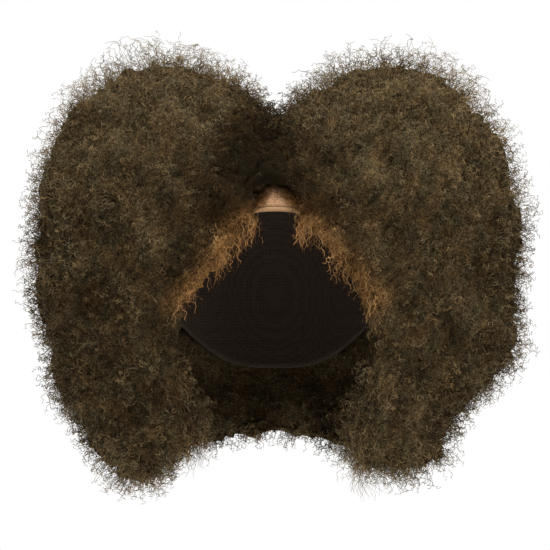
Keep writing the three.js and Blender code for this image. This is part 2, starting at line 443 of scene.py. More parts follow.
@dataclass(frozen=True)
class HeadForm:
    """The ellipsoid that the cap fits, and the edge of cap and lace on it.

    Attributes:
        half_width, half_length, rise: the ellipsoid's half axes, with the crown at the origin.
        rim_turn, rim_drop: turn from the forehead in degrees, and drop of the edge below the crown in mm.
        lace_depth: depth of the lace along the head.
        lace_fade, lace_end: the turns in degrees where it runs out and stops.
    """

    half_width: float = 77 * MM
    half_length: float = 96 * MM
    rise: float = 98 * MM
    rim_turn: tuple[float, ...] = (0, 25, 50, 74, 96, 122, 150, 180)
    rim_drop: tuple[float, ...] = (36, 42, 68, 112, 96, 120, 143, 148)
    lace_depth: float = 30 * MM
    lace_fade: float = 72.0
    lace_end: float = 62.0

    def point(self, turn: Array, fall: Array, height: Array | float) -> Array:
        """Point on the ellipsoid with a height added to its half axes, by its turn and its fall.

        Args:
            turn: degrees from the forehead towards the wearer's left.
            fall: radians down from the crown.
            height: distance outward.

        Returns:
            Points with the shape that the three broadcast to.
        """
        turn = np.radians(turn)
        x = (self.half_width + height) * np.sin(fall) * np.sin(turn)
        y = -(self.half_length + height) * np.sin(fall) * np.cos(turn)
        z = (self.rise + height) * np.cos(fall) - self.rise
        return np.stack(np.broadcast_arrays(x, y, z), axis=-1)

    @staticmethod
    def around(turn: Array) -> Array:
        """Degrees from the forehead to either side."""
        return np.abs((np.asarray(turn, float) + 180) % 360 - 180)

    def rim_fall(self, turn: Array) -> Array:
        """Fall of the outer edge at each turn, alike on both sides."""
        keys, drops = np.array(self.rim_turn, float), np.array(self.rim_drop, float) * MM
        return np.arccos(1 - smooth_curve(keys, drops, self.around(turn)) / self.rise)

    def seam_fall(self, turn: Array) -> Array:
        """Fall of the seam where the lace meets the cap: the edge, less a depth that fades as a cosine."""
        share = np.minimum(1, self.around(turn) / self.lace_fade)
        return self.rim_fall(turn) - self.lace_depth * np.cos(TAU / 4 * share) / self.half_length

    def depth(self, points: Array) -> Array:
        """Measures how far out points lie: by the ellipsoid, and straight down from its middle.

        Args:
            points: any points.

        Returns:
            Their distance from the middle, with 1 on the skin.
        """
        axes = np.array([self.half_width, self.half_length, self.rise])
        level = np.maximum(points[..., 2:] + self.rise, 0) * UP
        return np.linalg.norm((points * (1 - UP) + level) / axes, axis=-1)

    def cleared(self, points: Array, least: float = 1.035, lowest: float = -150 * MM) -> Array:
        """Moves points out of the hollow of the head, straight away from its axis or its middle.

        Args:
            points: any points.
            least: how far out they may stay, with 1 on the skin.
            lowest: level below which the move fades out, over 20 mm.

        Returns:
            The points, out of the hollow.
        """
        depth = self.depth(points)[..., None]
        below = np.minimum(points[..., 2:] + self.rise, 0) - self.rise
        middle = below * UP
        moved = middle + (points - middle) * least / np.maximum(depth, 0.2)
        share = fade(points[..., 2:], lowest - 20 * MM, lowest)
        return np.where(depth < least, points + share * (moved - points), points)


@dataclass
class NetCap:
    """The stretch cap: a dome of net with machine-sewn weft rows inside and a bound edge.

    Attributes:
        head: form that it fits.
        wall: thickness of the net.
        row_spacing: distance between weft rows along the head.
        row_height, row_most: how far the rows would stand inward, and how far they are pressed flat.
        binding, binding_height: width and height of the bound edge.
        turns, bands: steps round the crown and down from it.
    """

    head: HeadForm
    wall: float = 1.3 * MM
    row_spacing: float = 11 * MM
    row_height: float = 0.7 * MM
    row_most: float = 0.6 * MM
    binding: float = 5 * MM
    binding_height: float = 0.5 * MM
    turns: int = 96
    bands: int = 56

    def build(self) -> Piece:
        """Carries a profile round the crown: down the inside, round the edge and back up the outside.

        The rows are the crests of a cosine raised to the sixth power. The binding swells as one less the
        fourth power of the share of its width.

        Returns:
            The net cap.
        """
        turn = np.linspace(0, 360, self.turns, endpoint=False)
        share = np.linspace(0, 1, self.bands + 1)[1:, None]
        fall = self.head.seam_fall(turn) * share
        along = fall * self.head.half_length
        rows = self.row_height * np.maximum(0, np.cos(TAU * along / self.row_spacing)) ** 6
        to_edge = along[-1] - along
        bound = self.binding_height * np.clip(1 - (to_edge / self.binding) ** 4, 0, 1)
        inside = self.head.point(turn, fall, CLEARANCE - np.minimum(rows, self.row_most) * (bound == 0))
        outside = self.head.point(turn, fall, self.wall + bound)[::-1]
        rings = np.concatenate([inside, outside])[None]
        crown = self.head.point(np.zeros(2), np.zeros(2), np.array([CLEARANCE, self.wall]))
        points, faces = closed_tubes(rings, crown[:1], crown[1:])
        piece = make_piece("wig_cap_net", points, faces)
        finish = NetFinish("brown_stretch_net", thread="#2f241a", hole="#1a120c", cell=2.2 * MM)
        piece.data.materials.append(finish.material())
        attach(piece, "root")
        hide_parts("wig_cap")
        return piece


@dataclass
class FrontStrip:
    """A strip of cloth along the forehead: the lace panel, or the hem below it.

    Attributes:
        head: form that it lies on.
        gap: distance from what is above it.
        lace_height: height of the lace's outside off the skin.
        hem_depth, hem_edge, hem_swell: depth of the hem, its height at its edges, and what its middle adds.
        steps, rows: steps along the strip and across it.
    """

    head: HeadForm
    gap: float = 0.4 * MM
    lace_height: float = 0.8 * MM
    hem_depth: float = 4 * MM
    hem_edge: float = 0.5 * MM
    hem_swell: float = 1.2 * MM
    steps: int = 120
    rows: int = 12

    def wall(self, turn: Array, top: Array, low: Array, outer: Array | float) -> tuple[Array, NDArray, Array]:
        """Carries a flat section along the forehead: down the outside, round the edge and up the inside.

        Args:
            turn: turns in degrees.
            top: fall of the upper edge at each turn.
            low: fall of the lower edge at each turn.
            outer: height of the outside off the skin, down the strip.

        Returns:
            Points, triangles and each point's place across the strip from 0 at the top to 1.
        """
        across = np.linspace(0, 1, self.rows + 1)
        fall = top[:, None] + (low - top)[:, None] * across
        outside = self.head.point(turn[:, None], fall, outer)
        inside = self.head.point(turn[:, None], fall, CLEARANCE)[:, ::-1]
        loops = np.concatenate([outside, inside], axis=1)
        place = np.concatenate([across, across[::-1]])
        starts, ends = loops[:1].mean(axis=1), loops[-1:].mean(axis=1)
        points, faces = closed_tubes(loops[None], starts, ends)
        return points, faces, np.concatenate([[0.5], np.tile(place, len(turn)), [0.5]])

    def lace(self) -> Piece:
        """Builds the sheer panel between the cap's seam and the hem.

        Returns:
            The lace.
        """
        turn = np.linspace(-self.head.lace_end, self.head.lace_end, self.steps)
        top = self.head.seam_fall(turn) + self.gap / self.head.half_length
        points, faces, _ = self.wall(turn, top, self.head.rim_fall(turn), self.lace_height)
        piece = make_piece("lace_front_tulle", points, faces)
        finish = NetFinish("tan_lace_tulle", thread="#9c7756", hole="#70533a", cell=1.4 * MM, ply=0.12)
        piece.data.materials.append(finish.material())
        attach(piece, "root")
        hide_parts("lace_front")
        return piece

    def hem(self) -> Piece:
        """Builds the folded tape below the lace, rounded across as half an ellipse.

        Returns:
            The tape.
        """
        turn = np.linspace(-self.head.lace_end, self.head.lace_end, self.steps)
        top = self.head.rim_fall(turn) + self.gap / self.head.half_length
        low = self.head.rim_fall(turn) + self.hem_depth / self.head.half_length
        across = np.linspace(0, 1, self.rows + 1)
        swell = self.hem_edge + self.hem_swell * np.sqrt(np.clip(4 * across * (1 - across), 0, 1))
        points, faces, place = self.wall(turn, top, low, swell)
        piece = make_piece("front_hem_tape", points, faces, across=place)
        piece.data.materials.append(TapeFinish().material())
        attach(piece, "root")
        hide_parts("front_hem")
        return piece


# Hair


@dataclass
class Bed:
    """Where the strands of one piece grow.

    Attributes:
        roots: where strands start.
        outward: unit normals there.
        rng: seeded random numbers.
    """

    roots: Array
    outward: Array
    rng: Random


@dataclass
class Surface:
    """A piece as arrays.

    Attributes:
        points, normals: place and unit normal of each point.
        faces: point numbers of each triangle.
    """

    points: Array
    faces: NDArray
    normals: Array

    @classmethod
    def of(cls, mesh: bpy.types.Mesh) -> "Surface":
        """Reads a mesh into arrays.

        Args:
            mesh: any mesh.

        Returns:
            Its points, triangles and normals.
        """
        mesh.calc_loop_triangles()
        points, normals = np.empty((2, 3 * len(mesh.vertices)), np.float32)
        faces = np.empty(3 * len(mesh.loop_triangles), np.int32)
        mesh.vertices.foreach_get("co", points)
        mesh.vertex_normals.foreach_get("vector", normals)
        mesh.loop_triangles.foreach_get("vertices", faces)
        points, normals = (values.reshape(-1, 3).astype(float) for values in (points, normals))
        return cls(points, faces.reshape(-1, 3), normals)

    def centres(self) -> Array:
        """Middle of each triangle."""
        return self.points[self.faces].mean(axis=1)

    def facing(self) -> Array:
        """Mean of the normals at each triangle's corners."""
        return unit(self.normals[self.faces].mean(axis=1))

    def areas(self) -> Array:
        """Area of each triangle: half the length of the cross product of two sides."""
        first, second, third = np.moveaxis(self.points[self.faces], 1, 0)
        return np.linalg.norm(np.cross(second - first, third - first), axis=1) / 2

    def scatter(self, count: int, weight: Array, seed: int) -> Bed:
        """Draws roots evenly over the surface, in proportion to area times weight.

        A root is a random mix of its triangle's corners, folded back where it falls outside.

        Args:
            count: how many roots.
            weight: share for each triangle.
            seed: what the random numbers start from.

        Returns:
            The bed of roots.
        """
        rng = np.random.default_rng(seed)
        chance = self.areas() * weight
        pick = rng.choice(len(self.faces), size=count, p=chance / chance.sum())
        a, b = rng.uniform(size=(2, count, 1))
        folded = a + b > 1
        a, b = np.where(folded, 1 - a, a), np.where(folded, 1 - b, b)
        share = np.stack([1 - a - b, a, b], axis=1)
        corners = self.faces[pick]
        outward = unit((self.normals[corners] * share).sum(axis=1))
        return Bed((self.points[corners] * share).sum(axis=1), outward, rng)


@dataclass
class Window:
    """The gap in the hair that the face looks out of, read from the hair's own surface.

    Attributes:
        ahead: how far forward hair lies to count as beside the face.
        top, low: levels between which hair by the face turns warm and lighter with painted light coming
            through it.
        blur: how far to both sides of those levels it changes.
        lowest, highest, step: the range of its levels, and the height of one.
        levels, edges: the levels, and how near the middle the hair comes there on the left and on the right.
    """

    ahead: float = -30 * MM
    top: float = -34 * MM
    low: float = -105 * MM
    blur: float = 10 * MM
    lowest: float = -240 * MM
    highest: float = 10 * MM
    step: float = 6 * MM
    levels: Array = field(init=False)
    edges: tuple[Array, Array] = field(init=False)

    def read(self, surface: Surface) -> "Window":
        """Finds how near the middle the hair comes: the least distance on each side, at each level.

        Args:
            surface: the hair's own surface.

        Returns:
            The window itself.
        """
        centres = surface.centres()
        self.levels = np.arange(self.lowest, self.highest, self.step)
        edges = []
        for side in (centres[:, 0] > 0, centres[:, 0] <= 0):
            chosen = centres[side & (centres[:, 1] < self.ahead)]
            half = np.full(len(self.levels) + 1, np.inf)
            np.minimum.at(half, np.digitize(chosen[:, 2], self.levels), np.abs(chosen[:, 0]))
            edges.append(np.where(np.isfinite(half), half, 0.0)[1:])
        self.edges = (edges[0], edges[1])
        return self

    def distance(self, points: Array) -> Array:
        """Measures sideways from the edge at each point's level.

        Args:
            points: any points.

        Returns:
            Their distances, large for hair that isn't in front.
        """
        left, right = (np.interp(points[:, 2], self.levels, edge) for edge in self.edges)
        half = np.where(points[:, 0] > 0, left, right)
        return np.where(points[:, 1] < self.ahead, np.maximum(np.abs(points[:, 0]) - half, 0), 1.0)

    def nearness(self, points: Array, reach: float) -> Array:
        """One at the edge, falling off as a bell curve of the given reach."""
        return bell(self.distance(points), reach)

    def level_share(self, points: Array) -> Array:
        """One well between the two levels, a half at them and none well beyond them."""
        below = fade(points[:, 2], self.top + self.blur, self.top - self.blur)
        return below * fade(points[:, 2], self.low - self.blur, self.low + self.blur)


@dataclass
class HairTone:
    """How light and how golden the hair is at each place, with painted light and painted shade in its tone.

    Attributes:
        window: the gap for the face.
        parting_foot, parting_top: levels over which the parting begins and ends.
        parting_back: how far back it runs.
        parting_middle, parting_width, parting_shade: the valley's middle and half width, and how dark the
        painted shade in it is.
        brow: levels over which it turns towards the forehead.
        lean, spread: how far it leans to the wearer's left there, and by what share it widens.
        tone_middle: tone halfway up the puffs.
        tops, ends: levels over which the tops and the low ends of the puffs turn lighter with painted light.
        top_painted_light, low_painted_light, face_painted_light: painted light that the tops, the low ends
        and the face's edge add to the tone.
        patch_light, patch_gold: what patches add to the tone and to the golden share.
        gold, face_painted_gold: golden share of all hair, and what painted light coming through the hair by
            the face adds to it.
    """

    window: Window
    parting_foot: Span = (-80 * MM, -35 * MM)
    parting_top: Span = (45 * MM, 10 * MM)
    parting_back: float = 60 * MM
    parting_middle: float = -13 * MM
    parting_width: float = 32 * MM
    parting_shade: float = 0.55
    brow: Span = (0, -60 * MM)
    lean: float = 15 * MM
    spread: float = 0.45
    tone_middle: float = 0.535
    tops: Span = (-60 * MM, 30 * MM)
    ends: Span = (-180 * MM, -210 * MM)
    top_painted_light: float = 0.1
    low_painted_light: float = 0.08
    face_painted_light: float = 0.16
    patch_light: float = 0.08
    patch_gold: float = 0.09
    gold: float = 0.09
    face_painted_gold: float = 0.8

    def parting(self, points: Array) -> Array:
        """Marks the valley of the parting, where shade is painted, which falls off as a bell curve to both
        sides.

        Args:
            points: any points.

        Returns:
            One in the valley and none far from it.
        """
        x, y, z = points.T
        share = fade(z, *self.parting_foot) * fade(z, *self.parting_top) * (y < self.parting_back)
        down = fade(z, *self.brow)
        middle = self.parting_middle + self.lean * down
        aside = bell(x - middle, self.parting_width * (1 + self.spread * down))
        return share * aside * (1 - self.face(points))

    def face(self, points: Array) -> Array:
        """One along the edge of the face, where light coming through the hair is painted, falling off
        sideways and beyond its levels.
        """
        return self.window.nearness(points, FACE_EDGE) * self.window.level_share(points)

    def tone(self, points: Array) -> Array:
        """Adds what height, face, parting and patches give to the tone of the middle: painted light on the
        tops, the low ends and the face's edge, painted shade in the parting, and random patches.

        Args:
            points: any points.

        Returns:
            The tone, about a half in the middle and lighter at both ends of the puffs.
        """
        high = fade(points[:, 2], *self.tops, least=-0.3)
        low = fade(points[:, 2], *self.ends)
        # Painted light: lighter towards the tops, a little darker below them, and lighter at the low ends.
        even = self.tone_middle + self.top_painted_light * high + self.low_painted_light * low
        # Painted light along the face's edge, and painted shade in the valley of the parting.
        even = even + self.face_painted_light * self.face(points) - self.parting_shade * self.parting(points)
        return even + self.patch_light * Mottle(38 * MM, seed=11).at(points)

    def warmth(self, points: Array) -> Array:
        """Golden share of the place, with painted light by the face."""
        patches = self.patch_gold * Mottle(22 * MM, seed=12).at(points)
        # Painted light coming through the hair by the face turns it golden.
        return np.clip(self.gold + patches + self.face_painted_gold * self.face(points), 0, 1)


@dataclass(frozen=True)
class Fullness:
    """A place where the hair is fuller or thinner than the solids, in front view.

    Attributes:
        across, level: its middle, in mm.
        reach: how far it spreads, in mm.
        out: how far the mass stands out there, in mm.
        more: how much longer strands grow there.
    """

    across: float
    level: float
    reach: float
    out: float
    more: float

    def share(self, points: Array) -> Array:
        """One in its middle, falling off as a bell curve, the same from front to back."""
        away = (points[:, 0] / MM - self.across) ** 2 + (points[:, 2] / MM - self.level) ** 2
        return np.exp(-away / self.reach**2)


PLACES = (
    Fullness(50, 60, 22, out=2.0, more=0.2),
    Fullness(120, 58, 30, out=5.5, more=0.3),
    Fullness(178, -15, 40, out=-1.5, more=0.6),
    Fullness(172, -142, 30, out=3.0, more=0.25),
    Fullness(136, -196, 20, out=-4.0, more=0.1),
    Fullness(105, -236, 20, out=1.5, more=0.5),
    Fullness(52, -214, 18, out=4.5, more=0.4),
    Fullness(-97, 76, 22, out=1.0, more=0.8),
    Fullness(-85, 60, 34, out=-3.0, more=0.2),
    Fullness(-142, 50, 16, out=3.0, more=0.5),
    Fullness(-152, 18, 22, out=-3.0, more=0.5),
    Fullness(-175, -60, 34, out=0.0, more=0.3),
    Fullness(-152, -182, 22, out=2.0, more=0.2),
    Fullness(-105, -240, 20, out=1.5, more=0.5),
    Fullness(-57, -212, 20, out=-4.0, more=0.0),
)


@dataclass
class HairMass:
    """The felted depth of both puffs, which the loose strands hide: the solids' form, evened out, sunk and
    darkened with painted shade.

    Attributes:
        head: form that it stays out of.
        voxel: size of the even mesh.
        smoothing: passes that ease the locks of the solids into one another.
        sink: how far the mass lies below the solids, to leave room for loose strands.
        tops, ends, neck, cheek: levels over which the puffs' tops, low ends, neck side and face side begin.
        neck_side: distances from the middle over which the neck side begins.
        fore: how far forward hair lies to count as by the brow.
        brow_aside, brow_level, lace_level: where the brow and the lace have their middles.
        top_sink, low_sink, neck_sink: the same at the thin tops and low ends of the puffs, and by the neck.
        face_sink, lace_sink: the same by the face, where the hair hangs close, and over the lace.
        brow_sink, lace_middle: the same beside the lace, where the hair closes in, and that gap's middle.
        groove, groove_width: extra depth of the parting, and its half width.
        lump, lump_size: height and width of its soft lumps.
        tuft, tuft_size: height and width of small tufts on them.
        ragged: how far single points stand out or in, which frays the outline.
        shade: how much darker it is than the strands: painted shade of the depth below them.
    """

    head: HeadForm
    voxel: float = 4.4 * MM
    smoothing: int = 8
    sink: float = 6.5 * MM
    tops: Span = (10 * MM, 55 * MM)
    ends: Span = (-178 * MM, -208 * MM)
    neck: Span = (-192 * MM, -214 * MM)
    cheek: Span = (-38 * MM, -58 * MM)
    neck_side: Span = (82 * MM, 62 * MM)
    fore: float = -50 * MM
    brow_aside: float = 24 * MM
    brow_level: float = -38 * MM
    lace_level: float = -30 * MM
    top_sink: float = 11 * MM
    low_sink: float = 7.5 * MM
    neck_sink: float = 16 * MM
    face_sink: float = -1 * MM
    lace_sink: float = 7 * MM
    brow_sink: float = -7 * MM
    lace_middle: float = 2 * MM
    groove: float = 2 * MM
    groove_width: float = 7 * MM
    lump: float = 1.1 * MM
    lump_size: float = 26 * MM
    tuft: float = 1.2 * MM
    tuft_size: float = 9 * MM
    ragged: float = 3.2 * MM
    shade: float = 0.12

    def even_surface(self) -> Surface:
        """Joins both solids into one surface, remeshed in voxels and smoothed.

        Returns:
            That surface.
        """
        left, right = (Surface.of(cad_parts[name].data) for name in ("hair_left", "hair_right"))
        points = np.concatenate([left.points, right.points])
        faces = np.concatenate([left.faces, right.faces + len(left.points)])
        rough = make_piece("hair_rough", points, faces)
        even = rough.modifiers.new("even", "REMESH")
        even.mode = "VOXEL"
        even.voxel_size = self.voxel
        ease = rough.modifiers.new("ease", "SMOOTH")
        ease.factor = 0.5
        ease.iterations = self.smoothing
        view = bpy.context.evaluated_depsgraph_get()
        mesh = bpy.data.meshes.new_from_object(rough.evaluated_get(view))
        surface = Surface.of(mesh)
        bpy.data.objects.remove(rough)
        bpy.data.meshes.remove(mesh)
        return surface

    def sinking(self, points: Array, window: Window) -> Array:
        """How far each point of the mass lies below the solids.

        The common depth is drawn towards each zone's own, by the share that the zone has at the point.

        Args:
            points: points on the solids.
            window: the gap for the face.

        Returns:
            One depth for each point.
        """
        x, z = np.abs(points[:, 0]), points[:, 2]
        aside = np.abs(points[:, 0] - self.lace_middle)
        fore = points[:, 1] < self.fore
        brow = bell(aside - self.brow_aside, 11 * MM) * bell(z - self.brow_level, 12 * MM)
        lace = bell(aside, 11 * MM) * bell(z - self.lace_level, 11 * MM)
        # Tops, low ends, neck, face, brow and lace: the share that each has at a point, and its depth.
        zones = (
            (fade(z, *self.tops), self.top_sink),
            (fade(z, *self.ends), self.low_sink),
            (fade(z, *self.neck) * fade(x, *self.neck_side), self.neck_sink),
            (window.nearness(points, FACE_EDGE) * fade(z, *self.cheek), self.face_sink),
            (fore * brow, self.brow_sink),
            (fore * lace, self.lace_sink),
        )
        sink = np.full(len(points), self.sink)
        for share, depth in zones:
            sink = sink + (depth - sink) * share
        sink = sink - MM * sum(place.out * place.share(points) for place in PLACES)
        return sink + self.groove * bell(x, self.groove_width) * (z > 0)

    def build(self, material: Material) -> tuple[Piece, Surface, HairTone]:
        """Builds the mass.

        Args:
            material: the hair's finish.

        Returns:
            The piece, the surface that strands root on and the tones of the hair.
        """
        surface = self.even_surface()
        points = surface.points
        tones = HairTone(Window().read(surface))
        height = self.lump * Mottle(self.lump_size, seed=5).at(points) - self.sinking(points, tones.window)
        height = height + self.tuft * Mottle(self.tuft_size, seed=6).at(points)
        height = height + np.random.default_rng(7).uniform(-self.ragged, self.ragged, len(points))
        surface.points = self.head.cleared(points + surface.normals * height[:, None])
        # Painted shade: the mass is darker than the strands, as the shade of the depth.
        tone, warmth = tones.tone(points) - self.shade, tones.warmth(points)
        piece = make_piece("hair_depth", surface.points, surface.faces, tone=tone, warmth=warmth)
        piece.data.materials.append(material)
        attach(piece, "root")
        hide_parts("hair_left", "hair_right")
        return piece, surface, tones


class Growth(Enum):
    """Where loose strands grow."""

    BODY = "body"
    HALO = "halo"
    FACE = "face"
    NAPE = "nape"
    LACE = "lace"


@dataclass(frozen=True)
class Coil:
    """How the strands of one growth coil and look. Pairs are the least and the most.

    Attributes:
        lift, length, radius: height of the coil above its root, length of its axis and its radius, in mm.
        turns: turns of the coil from root to tip.
        rise: angle of the axis above the surface, in degrees.
        width: thickness of the strand at its root, in mm.
        taper: share of that which it loses towards its tip.
        stem: share of the thickness that the climbing part has.
        perch: greatest share of the lift at which a strand comes out of the tangle of its neighbours.
        thin: share of the thickness that a strand loses where its tip stands 20 mm above its root.
        skew: above 1 for more low strands than high ones.
        droop: how much of its heading a strand gives to gravity.
        reach: greatest height above the root, in mm.
        rings: rings of three points along the strand.
        gold, light: added golden share and tone.
        mixed: how many times as much as elsewhere the strands differ from one another.
    """

    lift: Span
    length: Span
    radius: Span
    turns: Span
    rise: Span
    width: Span
    taper: float = 0.4
    stem: float = 1.0
    perch: float = 0.0
    thin: float = 0.0
    skew: float = 1.0
    droop: float = 0.1
    reach: float = 14.0
    rings: int = 5
    gold: float = 0.0
    light: float = 0.0
    mixed: float = 1.0


COILS = {
    Growth.BODY: Coil((0.3, 7), (3, 6.5), (0.6, 1.2), (1.0, 1.7), (-5, 50), (0.34, 0.5), rings=4),
    Growth.HALO: Coil(
        (0, 12), (3.5, 8), (1.1, 2.0), (2.1, 3.1), (-10, 75), (0.68, 0.94),
        taper=0.35, stem=0.7, perch=0.75, thin=0.56, skew=1.9, reach=26, rings=7,
    ),
    Growth.FACE: Coil(
        (0, 2), (9, 18), (0.9, 1.9), (1.6, 2.8), (5, 45), (0.26, 0.38),
        droop=1.1, rings=7, gold=0.02, light=0.05, mixed=2.2,
    ),
    Growth.NAPE: Coil(
        (0, 6), (3, 8), (1.5, 2.6), (1.8, 3.0), (-10, 60), (0.34, 0.46),
        stem=0.4, droop=0.4, reach=18, rings=8,
    ),
    Growth.LACE: Coil(
        (0, 0.8), (8, 16), (0.4, 1.0), (0.6, 1.3), (4, 20), (0.3, 0.44),
        reach=6, rings=4, gold=0.6, light=0.17,
    ),
}


@dataclass
class Frizz:
    """Loose strands: closed three-sided tubes along coils, many to a mesh.

    Attributes:
        head: form that strands stay out of.
        tones: tones of the hair.
        climbing: share of a strand that climbs to its height.
        tone_spread, warmth_spread: how much single strands differ in tone and warmth.
        tip_light: how much lighter a strand is 14 mm above its root.
        ends: levels over which the low ends of the puffs begin.
        parting_width: half width of the parting, where strands stay short.
        growth, top_growth, low_growth: length of strands all over, and what tops and low ends add to it.
        parting_loss: share of it that strands lose in the parting.
    """

    head: HeadForm
    tones: HairTone
    climbing: float = 0.45
    tone_spread: float = 0.09
    warmth_spread: float = 0.07
    tip_light: float = 0.23
    ends: Span = (-190 * MM, -210 * MM)
    parting_width: float = 26 * MM
    growth: float = 1.2
    top_growth: float = 1.0
    low_growth: float = 0.5
    parting_loss: float = 0.45

    def vigour(self, roots: Array) -> Array:
        """Tells how long strands grow: more at the tops of the puffs and their low ends, less in the parting.

        Args:
            roots: where strands start.

        Returns:
            How many times as long as its coil says each strand is.
        """
        high = fade(roots[:, 2], *PUFF_TOPS)
        low = fade(roots[:, 2], *self.ends)
        parting = bell(roots[:, 0], self.parting_width) * (roots[:, 2] > 0)
        more = sum(place.more * place.share(roots) for place in PLACES)
        length = self.growth + self.top_growth * high + self.low_growth * low + more
        return length * (1 - self.parting_loss * parting)

    def paths(self, bed: Bed, along: Array, coil: Coil) -> Array:
        """Lines of the strands: each starts at its root and winds round an axis that lies along the hair.

        A ring at share t of the strand lies at root + outward * lift * (perch + (1 - perch) * climb) + axis
        * length * t + radius * (cos a * across + sin a * beside), where climb goes from 0 to 1 over the
        climbing share and the angle a grows with t. Heights above the root are eased so that none passes the
        greatest reach.

        Args:
            bed: where they grow.
            along: headings along the surface.
            coil: how they coil.

        Returns:
            Points of shape (strands, rings + 2, 3).
        """
        roots, outward, rng = bed.roots, bed.outward, bed.rng
        count = len(roots)

        def draw(span: Span, scale: float = 1.0, skew: float = 1.0) -> Array:
            """One random value for each strand, with more low ones where the skew is above 1."""
            return scale * (span[0] + (span[1] - span[0]) * rng.uniform(size=(count, 1)) ** skew)

        rise = np.radians(draw(coil.rise))
        axis = unit(outward * np.sin(rise) + along * np.cos(rise) - coil.droop * UP)
        across = unit(outward - axis * (outward * axis).sum(axis=1, keepdims=True) + 1e-3 * UP)
        beside = np.cross(axis, across)
        t = np.linspace(0, 1, coil.rings + 2)[None]
        vigour = self.vigour(roots)[:, None]
        hand = rng.choice([-1.0, 1.0], size=(count, 1))
        kink = 0.05 * np.sin(TAU * (1.3 * t + rng.uniform(size=(count, 1))))
        angle = TAU * (hand * draw(coil.turns) * (t + kink) + rng.uniform(size=(count, 1)))
        radius = draw(coil.radius, MM) * (0.7 + 0.3 * np.sin(math.pi * t))
        wind = np.cos(angle)[..., None] * across[:, None] + np.sin(angle)[..., None] * beside[:, None]
        off = (vigour * draw(coil.length, MM) * t)[..., None] * axis[:, None] + radius[..., None] * wind
        perch = draw((0, coil.perch))
        climb = perch + (1 - perch) * fade(t, 0, self.climbing)
        climb = vigour * draw(coil.lift, MM, coil.skew) * climb
        off[:, 0] = 0
        off = off + climb[..., None] * outward[:, None]
        height = (off * outward[:, None]).sum(axis=-1, keepdims=True)
        reach = coil.reach * MM
        eased = np.where(height > 0, reach * np.tanh(height / reach), height)
        return self.head.cleared(roots[:, None] + off + (eased - height) * outward[:, None])

    def strands(self, bed: Bed, coil: Coil, along: Array | None = None) -> Tubes:
        """Makes the tubes of one growth.

        A ring of three points lies round each step of a path, square to its heading, at a half width that
        tapers to the tip.

        Args:
            bed: where they grow.
            coil: how they coil.
            along: headings along the surface, or any heading.

        Returns:
            Points, triangles, and tone and warmth of each point.
        """
        roots, outward, rng = bed.roots, bed.outward, bed.rng
        count = len(roots)
        if along is None:
            along = rng.normal(size=(count, 3))
        along = unit(along - outward * (along * outward).sum(axis=1, keepdims=True))
        paths = self.paths(bed, along, coil)
        forward = unit(np.gradient(paths, axis=1))
        chord = unit(paths[:, -1] - paths[:, 0])
        normal = unit(np.cross(forward, chord[:, None] + 1e-3))
        binormal = np.cross(forward, normal)
        t = np.linspace(0, 1, coil.rings + 2)
        swell = coil.stem + (1 - coil.stem) * fade(t, 0, self.climbing)
        half = MM / 2 * rng.uniform(*coil.width, size=(count, 1)) * swell * (1 - coil.taper * t)
        tip = ((paths[:, -1] - roots) * outward).sum(axis=1, keepdims=True)
        half = half * (1 - coil.thin * fade(tip, 0, 20 * MM))
        angle = TAU * np.arange(3) / 3
        ring = np.cos(angle)[:, None] * normal[:, :, None] + np.sin(angle)[:, None] * binormal[:, :, None]
        rings = (paths[:, :, None] + half[..., None, None] * ring)[:, 1:-1]
        points, faces = closed_tubes(rings, paths[:, 0], paths[:, -1])
        per = 3 * coil.rings + 2
        tone = self.tones.tone(roots) + coil.light + coil.mixed * self.tone_spread * rng.normal(size=count)
        warmth = self.tones.warmth(roots) + coil.gold
        warmth = warmth + coil.mixed * self.warmth_spread * rng.normal(size=count)
        height = ((points.reshape(count, per, 3) - roots[:, None]) * outward[:, None]).sum(axis=-1)
        tone = tone[:, None] + self.tip_light * height / (14 * MM)
        return points, faces, np.clip(tone, 0, 1).ravel(), np.repeat(np.clip(warmth, 0, 1), per)


